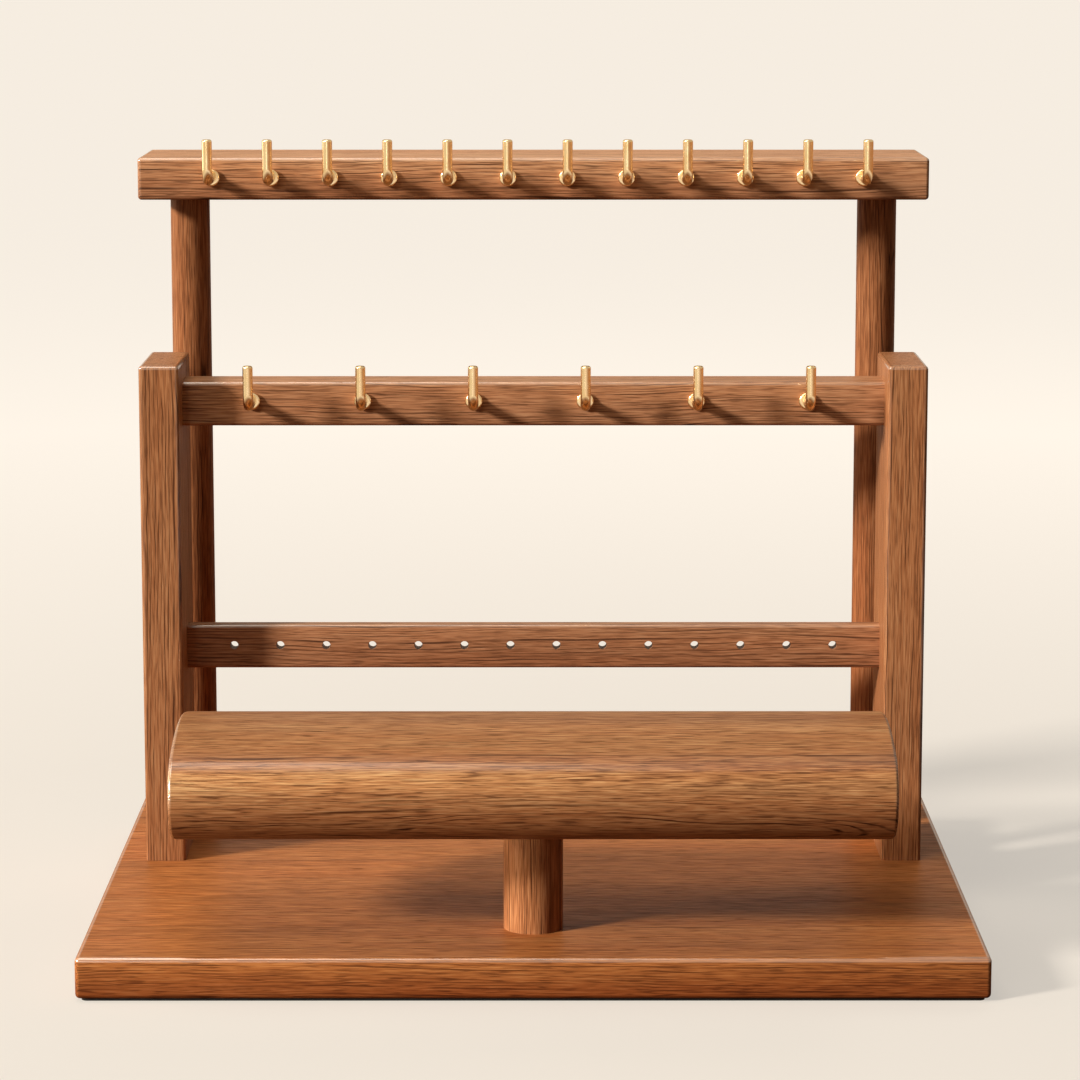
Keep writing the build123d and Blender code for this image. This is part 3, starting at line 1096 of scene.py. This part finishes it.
@dataclass
class FrontFrame(Assembly):
    """Two flat posts that carry the middle hook rail and the earring rail."""

    post_edge_radius: float = 0.0013
    # the flat posts are darker towards the foot
    post_tone: Tuple[float, float] = (0.55, 0.35)
    rail_edge_radius: float = 0.0012
    # the rail is darker towards the bottom of its front: a real tone with painted shade
    rail_stain_and_shade: Tuple[float, float] = (0.75, 0.25)
    strip_edge_radius: float = 0.0010
    # the strip is darker towards its foot in the same way: a real tone with painted shade
    strip_stain_and_shade: Tuple[float, float] = (0.95, 0.45)
    let_in: float = 0.0040
    dowel_hole_radius: float = 0.00255
    dowel_spacing: float = 0.0085
    dowel_in_post: float = 0.0099
    dowel_in_rail: float = 0.0119
    hole_radius: float = 0.0015
    hole_count: int = 14
    hole_margin: float = 0.016925
    hole_offset_up: float = 0.0004

    def dowel_holes(self, face_x: float, inward: float, depth: float) -> List[Hole]:
        """Lay out two dowel holes in a post's inner face or a rail's end.

        Args:
            face_x: Where the face is.
            inward: -1 or 1, the way in along X.
            depth: How deep they are.

        Returns:
            The holes.
        """
        low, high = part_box("middle_rail")
        middle = (low + high) / 2
        return [Hole(Vector((face_x, middle.y + step * self.dowel_spacing, middle.z)),
                     Vector((inward, 0.0, 0.0)), self.dowel_hole_radius, depth)
                for step in PAIR]

    def post(self, side: str) -> None:
        """Build one flat post.

        Args:
            side: left or right.
        """
        node = f"front_post_{side}"
        low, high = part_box(node)
        inner = low.x if side == "right" else high.x
        self.saw(
            f"flat_post_{side}", node, "post_wood", lambda a, b: max(a.z, b.z) > high.z - CLOSE,
            self.post_edge_radius, self.post_tone, pilot_holes(node, PAIR)
            + self.dowel_holes(inner, float(SIDES[side]), self.dowel_in_post))

    def rail(self) -> None:
        """Build the middle hook rail."""
        low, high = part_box("middle_rail")
        self.saw(
            "middle_hook_rail", "middle_rail", "rail_wood", is_long, self.rail_edge_radius,
            self.rail_stain_and_shade, self.dowel_holes(low.x, 1.0, self.dowel_in_rail)
            + self.dowel_holes(high.x, -1.0, self.dowel_in_rail))

    def strip(self) -> None:
        """Build the earring rail: a thin strip pierced by a row of small holes."""
        low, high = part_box("earring_rail")
        first = low.x + self.let_in + self.hole_margin
        last = high.x - self.let_in - self.hole_margin
        pitch = (last - first) / (self.hole_count - 1)
        height = (low.z + high.z) / 2 + self.hole_offset_up
        self.saw(
            "pierced_earring_rail", "earring_rail", "rail_wood", is_long, self.strip_edge_radius,
            self.strip_stain_and_shade, [Hole(Vector((first + step * pitch, low.y, height)), -FRONT,
                                    self.hole_radius, high.y - low.y + OVERSHOOT)
                               for step in range(self.hole_count)])

    def build(self) -> None:
        """Build the whole front frame."""
        for side in SIDES:
            self.post(side)
            self.dress(f"middle_rail_dowels_{side}", "dowel_wood")
            self.dress(f"front_post_screws_{side}", "screw_steel")
        self.rail()
        self.strip()


# ---- Rear frame ---------------------------------------------------------------------------------


@dataclass
class RearFrame(Assembly):
    """Two round posts that carry the top hook rail."""

    post_radius: float = 0.00715
    # the round posts are darker towards the foot
    post_tone: Tuple[float, float] = (0.75, 0.55)
    tenon: Tuple[float, float] = (0.0050, 0.0090)
    tenon_chamfer: float = 0.0006
    rail_edge_radius: float = 0.0013
    # the top rail is darker towards the bottom of its front and lightest on its top: a real tone with
    # painted shade
    rail_stain_and_shade: Tuple[float, float] = (0.90, 0.0)
    socket_sides: int = 64

    def rail(self) -> None:
        """Build the top hook rail, with a socket beneath for each tenon."""
        low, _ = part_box("top_rail")
        radius, length = self.tenon
        sockets = []
        for side in SIDES:
            post_low, post_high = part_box(f"rear_post_{side}")
            centre = (post_low + post_high) / 2
            sockets.append(Hole(Vector((centre.x, centre.y, low.z)), UP, radius + SOCKET_CLEARANCE,
                                length + SOCKET_SLACK, sides=self.socket_sides))
        self.saw("top_hook_rail", "top_rail", "rail_wood", lambda a, b: True,
                 self.rail_edge_radius, self.rail_stain_and_shade, sockets)

    def build(self) -> None:
        """Build the whole rear frame."""
        for side in SIDES:
            self.turn_post(f"round_post_{side}", f"rear_post_{side}", self.post_radius,
                           self.post_tone, self.tenon_chamfer, self.tenon)
            self.dress(f"rear_post_screw_{side}", "screw_steel")
        self.rail()


# ---- Bracelet stand ------------------------------------------------------------------------------


@dataclass
class BraceletStand(Assembly):
    """The broad oval bar and the short round post beneath it."""

    crown_radius: float = 0.110
    end_radius: float = 0.0012
    # the right end, away from the key, gets less gloss and less painted highlight than the left
    shaded_end_rim: float = 0.2
    sheen: float = 0.42
    sheen_reach: Tuple[float, float, float] = (0.55, 0.86, 0.92)
    # painted light and shade on the bar's section, by height: a little darker on the crown, lightest on
    # the band below it that faces the key, much darker beneath, where shade falls
    stain_and_shade_steps: Tuple[Tuple[float, float], ...] = (
        (1.0, 0.30), (0.80, 0.40), (0.70, 0.60), (0.56, 0.60), (0.50, 0.0), (0.26, 0.05),
        (0.12, 0.45), (-0.30, 0.85), (-1.0, 0.80))
    post_radius: float = 0.010
    post_chamfer: float = 0.0006
    post_tone: Tuple[float, float] = (0.40, 0.40)
    socket_start: float = 0.004
    hoop_radius: float = 0.02
    crown_steps: int = 40
    nose_steps: int = 26

    def outline(self, half_depth: float, half_height: float) -> List[Tuple[float, float]]:
        """Work out the bar's section: two long crown arcs joined by round noses.

        Args:
            half_depth: Half the section's depth.
            half_height: Half its height.

        Returns:
            The points (depth, height) round the section.
        """
        crown = half_height - self.crown_radius
        nose = ((self.crown_radius**2 - crown**2 - half_depth**2)
                / (2 * (self.crown_radius - half_depth)))
        nose_centre = half_depth - nose
        lean = math.atan2(nose_centre, -crown)
        points = []
        for step in range(self.crown_steps):
            angle = -lean + 2 * lean * step / self.crown_steps
            points.append((self.crown_radius * math.sin(angle),
                           crown + self.crown_radius * math.cos(angle)))
        for step in range(self.nose_steps):
            angle = lean + (math.pi - 2 * lean) * step / self.nose_steps
            points.append((nose_centre + nose * math.sin(angle), nose * math.cos(angle)))
        return points + [(-depth, -height) for depth, height in points]

    def draw_out(self, bench: Bench) -> None:
        """Shape a ring to the bar's section and draw it out to the bar's length.

        Args:
            bench: The bench that the bar is made on.
        """
        low, high, middle = bench.low, bench.high, bench.middle
        points = self.outline((high.y - low.y) / 2, (high.z - low.z) / 2)
        bench.hoop(Vector((low.x, middle.y, middle.z)), self.hoop_radius, len(points), "X")
        ring = sorted(bench.piece.data.vertices,
                      key=lambda v: math.atan2(v.co.y - middle.y, v.co.z - middle.z))
        aim = sorted(points, key=lambda p: math.atan2(p[0], p[1]))
        for corner, (depth, height) in zip(ring, aim):
            corner.co = (low.x, middle.y + depth, middle.z + height)
        bench.edit("EDGE")
        bpy.ops.mesh.select_all(action="SELECT")
        bpy.ops.mesh.edge_face_add()
        bench.lengthen(Vector((high.x - low.x, 0.0, 0.0)))
        bpy.ops.mesh.select_all(action="SELECT")
        bpy.ops.mesh.normals_make_consistent(inside=False)
        bench.done()

    def bar(self) -> None:
        """Build the bar: its section, drawn out and rounded at both ends."""
        bench = Bench("oval_bracelet_bar", "bracelet_bar")
        middle = bench.middle
        reach, half_depth, half_height = (bench.high - bench.low) / 2
        start, peak, end = self.sheen_reach

        def rim(place: Vector) -> float:
            """How much of a rim a face is: both rounded ends, the right one with less gloss and less
            painted highlight, as it faces away from the key.
            """
            if not reach - self.end_radius < abs(place.x - middle.x) < reach - 10 * NEAR:
                return 0.0
            return 1.0 if place.x < middle.x else self.shaded_end_rim

        def haze(place: Vector) -> float:
            """How glossy the bar is: two stripes along its top shine, near the noses."""
            share = abs(place.y - middle.y) / half_depth
            if place.z < middle.z or not start < share < end:
                return 0.0
            return self.sheen * min((share - start) / (peak - start), (end - share) / (end - peak), 1.0)

        def stain_and_shade(place: Vector) -> float:
            """How much tone and painted shade there is: some on the crown, none on the band below it
            that faces the key, much beneath, where shade falls.
            """
            share = (place.z - middle.z) / half_height
            for (upper, deep), (lower, deeper) in zip(self.stain_and_shade_steps, self.stain_and_shade_steps[1:]):
                if share > lower:
                    return deeper + (deep - deeper) * (share - lower) / (upper - lower)
            return self.stain_and_shade_steps[-1][1]

        self.draw_out(bench)
        bench.round_edges(lambda a, b: abs(a.x - b.x) < NEAR, self.end_radius)
        bench.mark_rim(rim)
        post_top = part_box("bracelet_post")[1].z
        start_below = bench.foot - UP * self.socket_start
        bench.bore([Hole(start_below, UP, self.post_radius + SOCKET_CLEARANCE,
                         post_top + SOCKET_SLACK - start_below.z, sides=ROUND_SIDES)])
        bench.smooth()
        bench.mark("sheen", haze)
        bench.mark("stain_and_shade_amount", stain_and_shade)
        self.settle(bench.piece, "bracelet_bar", "bar_wood")

    def build(self) -> None:
        """Build the whole bracelet stand."""
        self.bar()
        self.turn_post("short_bracelet_post", "bracelet_post", self.post_radius, self.post_tone,
                       self.post_chamfer)
        self.dress("bracelet_post_screw", "screw_steel")


# ---- Hooks -----------------------------------------------------------------------------------------


@dataclass
class Hooks(Assembly):
    """The screw hooks of both rails: one is shaped and the others are copied."""

    wire_radius: float = 0.0018
    reach: float = 0.018
    rise: float = 0.0147
    bend_radius: float = 0.0043
    tip_radius: float = 0.0008
    collar_radius: float = 0.0031
    collar_thickness: float = 0.0018
    collar_edge_radius: float = 0.0007
    shank_length: float = 0.011
    shank_radius: float = 0.0015
    root_radius: float = 0.0011
    pitch: float = 0.0014
    point_share: float = 0.6
    sides: int = 28
    bend_steps: int = 12
    tip_steps: int = 6
    collar_steps: int = 8
    sharp_angle: float = 40.0
    rows: Tuple[Tuple[str, int], ...] = (("top_hook", 12), ("middle_hook", 6))

    def collar(self) -> List[Tuple[float, float]]:
        """Work out the collar, a flat disc with a rounded rim, from the peg back to the rail.

        Returns:
            Points (distance from the rail, radius).
        """
        points = []
        for step in range(self.collar_steps + 1):
            angle = math.pi / 2 * step / self.collar_steps
            points.append((
                self.collar_thickness - self.collar_edge_radius * (1.0 - math.cos(angle)),
                self.collar_radius - self.collar_edge_radius * (1.0 - math.sin(angle))))
        return points + [(0.0, self.collar_radius)]

    def shank(self) -> List[Tuple[float, float]]:
        """Work out the ridged shank, from the rail to its point.

        Returns:
            Points (distance from the rail, radius).
        """
        ridges = int((self.shank_length - self.pitch) / self.pitch)
        step = (self.shank_length - self.pitch) / ridges
        points = [(0.0, self.root_radius)]
        for ridge in range(ridges):
            points.append((-(ridge + 0.5) * step, self.shank_radius))
            points.append((-(ridge + 1.0) * step, self.root_radius))
        return points + [(-self.shank_length, self.root_radius * self.point_share)]

    def turn(self, start: Tuple[float, float], profile: Sequence[Tuple[float, float]]) -> None:
        """Draw the selected ring out along a turned profile, in edit mode.

        Args:
            start: The ring's distance from the rail and its radius.
            profile: The distance and radius of each ring to come.
        """
        distance, radius = start
        for next_distance, next_radius in profile:
            bpy.ops.mesh.extrude_region_move(
                TRANSFORM_OT_translate={"value": FRONT * (next_distance - distance)})
            share = next_radius / radius
            bpy.ops.transform.resize(value=(share, 1.0, share),
                                     center_override=FRONT * next_distance)
            distance, radius = next_distance, next_radius

    def shape(self) -> Bench:
        """Shape one hook, its seat at the origin and its peg to the front.

        Returns:
            The bench that holds it.
        """
        bench = Bench("screw_hook_pattern")
        seat = self.collar_thickness
        bend = self.reach - self.bend_radius
        bench.hoop(FRONT * seat, self.wire_radius, self.sides, "Y")
        bench.edit("EDGE")
        bpy.ops.mesh.select_all(action="SELECT")
        bench.lengthen(FRONT * (bend - seat))
        bpy.ops.mesh.spin(steps=self.bend_steps, angle=math.pi / 2,
                          center=FRONT * bend + UP * self.bend_radius, axis=(1.0, 0.0, 0.0))
        top = self.rise - self.tip_radius
        bench.lengthen(UP * (top - self.bend_radius))
        height, radius = top, self.wire_radius
        for step in range(1, self.tip_steps + 1):
            angle = math.pi / 2 * step / self.tip_steps
            next_height = top + self.tip_radius * math.sin(angle)
            next_radius = self.wire_radius - self.tip_radius * (1.0 - math.cos(angle))
            bench.lengthen(UP * (next_height - height))
            share = next_radius / radius
            bpy.ops.transform.resize(value=(share, share, 1.0),
                                     center_override=FRONT * self.reach + UP * next_height)
            height, radius = next_height, next_radius
        bpy.ops.mesh.edge_face_add()
        bench.pick_edges(lambda a, b: abs(a.y + seat) < NEAR and abs(b.y + seat) < NEAR)
        self.turn((seat, self.wire_radius), self.collar() + self.shank())
        bpy.ops.mesh.edge_face_add()
        bpy.ops.mesh.select_all(action="SELECT")
        bpy.ops.mesh.remove_doubles(threshold=NEAR)
        bpy.ops.mesh.normals_make_consistent(inside=False)
        bench.done()
        bench.smooth(self.sharp_angle)
        return bench

    def build(self) -> None:
        """Shape one hook and set a copy at each place."""
        bench = self.shape()
        for row, count in self.rows:
            for number in range(1, count + 1):
                node = f"{row}_{number:02d}"
                low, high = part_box(node)
                seat = Vector(((low.x + high.x) / 2, high.y - self.shank_length,
                               low.z + self.collar_radius))
                self.settle(bench.repeat(f"gold_{node}", seat), node, "hook_metal")
        bpy.data.objects.remove(bench.piece)


# ---- Studio -----------------------------------------------------------------------------------------


@dataclass(frozen=True)
class Softbox:
    """A soft lamp: where it hangs, what it faces, its width and height, power and colour."""

    name: str
    place: Tuple[float, float, float]
    aim: Tuple[float, float, float]
    size: Tuple[float, float]
    watts: float
    colour: Colour
    mirrored: bool = True


@dataclass
class Studio:
    """The floor, the lamps, the world and the camera."""

    floor_half: float = 30.0
    floor_colour: Colour = (0.90, 0.84, 0.76)
    floor_share: float = 0.38
    floor_glow: Tuple[float, float] = (0.56, 0.80)
    floor_reach: Tuple[float, float] = (0.30, 1.3)
    # the floor glows with these in reflections only, a painted reflection: cream to the left, near
    # white in front, amber to the right, and dark brown around and behind the stand
    floor_sides: Tuple[Colour, Colour, Colour] = (
        (0.78, 0.68, 0.53), (0.98, 0.88, 0.78), (0.46, 0.21, 0.09))
    floor_turns: Tuple[float, float, float, float] = (-0.9, -0.3, 0.55, 1.0)
    floor_near: Colour = (0.22, 0.09, 0.035)
    floor_near_middle: Tuple[float, float, float] = (0.0, 0.65, 0.0)
    floor_near_shape: Tuple[float, float, float] = (1.0, 0.47, 1.0)
    floor_edge: Tuple[float, float] = (0.42, 0.70)
    floor_bounce: Colour = (0.09, 0.045, 0.022)
    camera_place: Tuple[float, float, float] = (0.001165, -1.340086, 0.354751)
    pitch_down: float = 9.3567
    turn: float = -0.0499
    picture: float = 1080.0
    focal_pixels: float = 3862.19
    sensor: float = 36.0  # in mm
    floor_roughness: float = 0.9
    key_way: Tuple[float, float, float] = (-1.70, -1.0, 0.86)
    key_strength: float = 4.45
    key_softness: float = 9.0
    key_colour: Colour = (1.0, 0.93, 0.84)
    low_place: Tuple[float, float, float] = (-0.80, -0.42, 0.06)
    low_aim: Tuple[float, float, float] = (0.0, -0.08, 0.03)
    low_watts: float = 20.0
    low_cone: float = 9.0
    low_blend: float = 0.8
    low_softness: float = 0.04
    low_colour: Colour = (1.0, 0.90, 0.72)
    softboxes: Tuple[Softbox, ...] = (
        Softbox("above", (-0.35, -0.25, 1.1), (0.0, -0.10, 0.0), (0.7, 0.85), 5.4,
                (1.0, 0.92, 0.80)),
        Softbox("front", (-0.5, -1.8, 0.50), (0.0, 0.0, 0.13), (0.2, 0.9), 1.8,
                (1.0, 0.93, 0.84)),
        Softbox("left", (-1.4, 0.32, 0.54), (0.0, 0.0, 0.13), (0.76, 1.0), 4.8,
                (1.0, 0.90, 0.76)),
        # fills the back of the stand, and isn't mirrored in the tops that the camera sees
        Softbox("rear", (0.5, 1.2, 1.3), (0.0, 0.0, 0.13), (1.0, 0.8), 5.2,
                (1.0, 0.92, 0.82), mirrored=False),
    )
    world_colour: Colour = (1.0, 0.88, 0.72)
    world_strength: float = 0.025
    world_mirrored: float = 0.60
    world_seen: Colour = (0.915, 0.850, 0.765)

    def floor(self) -> None:
        """Lay a plain pale floor, which bounces light as a deeper and warmer one, and glows in
        reflections with a painted reflection.
        """
        release()
        bpy.ops.mesh.primitive_plane_add(size=2 * self.floor_half)
        floor = bpy.context.object
        floor.name = "studio_floor"
        material, wiring, shader = new_material("studio_floor")
        ray = wiring.add("LightPath")
        place = wiring.place()
        axes = wiring.add("SeparateXYZ")
        wiring.feed(axes.inputs[0], place)
        left, front, right = self.floor_sides
        mirrored = wiring.mix(wiring.remap(axes.outputs[0], self.floor_turns[:2], (0.0, 1.0)),
                              left, front)
        mirrored = wiring.mix(wiring.remap(axes.outputs[0], self.floor_turns[2:], (0.0, 1.0)),
                              mirrored, right)
        behind = wiring.add("VectorMath", operation="SUBTRACT")
        wiring.feed(behind.inputs[0], place)
        behind.inputs[1].default_value = self.floor_near_middle
        near = wiring.length(wiring.stretch(behind.outputs[0], self.floor_near_shape))
        mirrored = wiring.mix(wiring.remap(near, self.floor_edge, (0.0, 1.0)),
                              self.floor_near, mirrored)
        seen = wiring.mix(ray.outputs["Is Glossy Ray"], self.floor_bounce, (0.0, 0.0, 0.0))
        seen = wiring.mix(ray.outputs["Is Camera Ray"], seen,
                          tuple(part * self.floor_share for part in self.floor_colour))
        wiring.feed(shader.inputs["Base Color"], seen)
        shader.inputs["Roughness"].default_value = self.floor_roughness
        shader.inputs["Specular IOR Level"].default_value = 0.0
        # evens out the backdrop, which lies further from the lamps
        near, far = (tuple(part * glow for part in self.floor_colour) for glow in self.floor_glow)
        glow = wiring.mix(wiring.remap(wiring.length(place), self.floor_reach, (0.0, 1.0)), near, far)
        # glossy rays see the floor glow with the painted reflection
        bright = wiring.mix(ray.outputs["Is Glossy Ray"], (0.0, 0.0, 0.0), mirrored)
        wiring.feed(shader.inputs["Emission Color"],
                    wiring.mix(ray.outputs["Is Camera Ray"], bright, glow))
        shader.inputs["Emission Strength"].default_value = 1.0
        floor.data.materials.append(material)

    def world(self) -> None:
        """Surround everything with a plain pale world, brighter in reflections."""
        world = bpy.data.worlds.new("studio")
        world.use_nodes = True
        bpy.context.scene.world = world
        wiring = Wiring(world.node_tree)
        sky = world.node_tree.nodes["Background"]
        ray = wiring.add("LightPath")
        wiring.feed(sky.inputs["Color"], wiring.mix(
            ray.outputs["Is Camera Ray"], self.world_colour, self.world_seen))
        strength = wiring.math("MULTIPLY_ADD", ray.outputs["Is Glossy Ray"],
                               self.world_mirrored - self.world_strength, self.world_strength)
        wiring.feed(sky.inputs["Strength"],
                    wiring.math("MAXIMUM", strength, ray.outputs["Is Camera Ray"]))

    def hang(self, lamp: bpy.types.Light, place: Sequence[float],
             back: Vector) -> bpy.types.Object:
        """Hang a lamp.

        Args:
            lamp: The lamp.
            place: Where it hangs.
            back: The way from what it lights back to the lamp.

        Returns:
            The object that holds it.
        """
        holder = bpy.data.objects.new(lamp.name, lamp)
        holder.location = place
        holder.rotation_euler = back.to_track_quat("Z", "Y").to_euler()
        bpy.context.scene.collection.objects.link(holder)
        return holder

    def lamps(self) -> None:
        """Hang the key from the left front, the low lamp for the short post and the soft lamps."""
        key = bpy.data.lights.new("key", "SUN")
        key.energy = self.key_strength
        key.angle = math.radians(self.key_softness)
        key.color = self.key_colour
        self.hang(key, (0.0, 0.0, 0.0), Vector(self.key_way))
        low = bpy.data.lights.new("low", "SPOT")
        low.energy = self.low_watts
        low.color = self.low_colour
        low.spot_size = math.radians(self.low_cone)
        low.spot_blend = self.low_blend
        low.shadow_soft_size = self.low_softness
        self.hang(low, self.low_place, Vector(self.low_place) - Vector(self.low_aim))
        for box in self.softboxes:
            lamp = bpy.data.lights.new(box.name, "AREA")
            lamp.shape = "RECTANGLE"
            lamp.size, lamp.size_y = box.size
            lamp.energy = box.watts
            lamp.color = box.colour
            holder = self.hang(lamp, box.place, Vector(box.place) - Vector(box.aim))
            holder.visible_glossy = box.mirrored

    def camera(self) -> None:
        """Set the camera where the photo was taken from."""
        data = bpy.data.cameras.new("camera")
        data.sensor_fit = "HORIZONTAL"
        data.sensor_width = self.sensor
        data.lens = self.sensor * self.focal_pixels / self.picture
        data.clip_end = 4 * self.floor_half
        holder = bpy.data.objects.new("camera", data)
        holder.location = self.camera_place
        holder.rotation_euler = (math.radians(90.0 - self.pitch_down), 0.0,
                                 math.radians(self.turn))
        bpy.context.scene.collection.objects.link(holder)
        bpy.context.scene.camera = holder

    def build(self) -> None:
        """Set up the whole studio."""
        self.floor()
        self.world()
        self.lamps()
        self.camera()
        bpy.context.scene.view_settings.view_transform = "Standard"
        log.info("studio: floor, world, lamps and camera")


def main() -> None:
    """Build the stand and its studio."""
    logging.basicConfig(level=logging.INFO, format="%(name)s %(message)s")
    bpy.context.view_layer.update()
    finishes = Finishes(Effects())
    for assembly in (Base(finishes), FrontFrame(finishes), RearFrame(finishes),
                     BraceletStand(finishes), Hooks(finishes)):
        assembly.build()
    Studio().build()
    release()


if __name__ == "__main__":
    main()
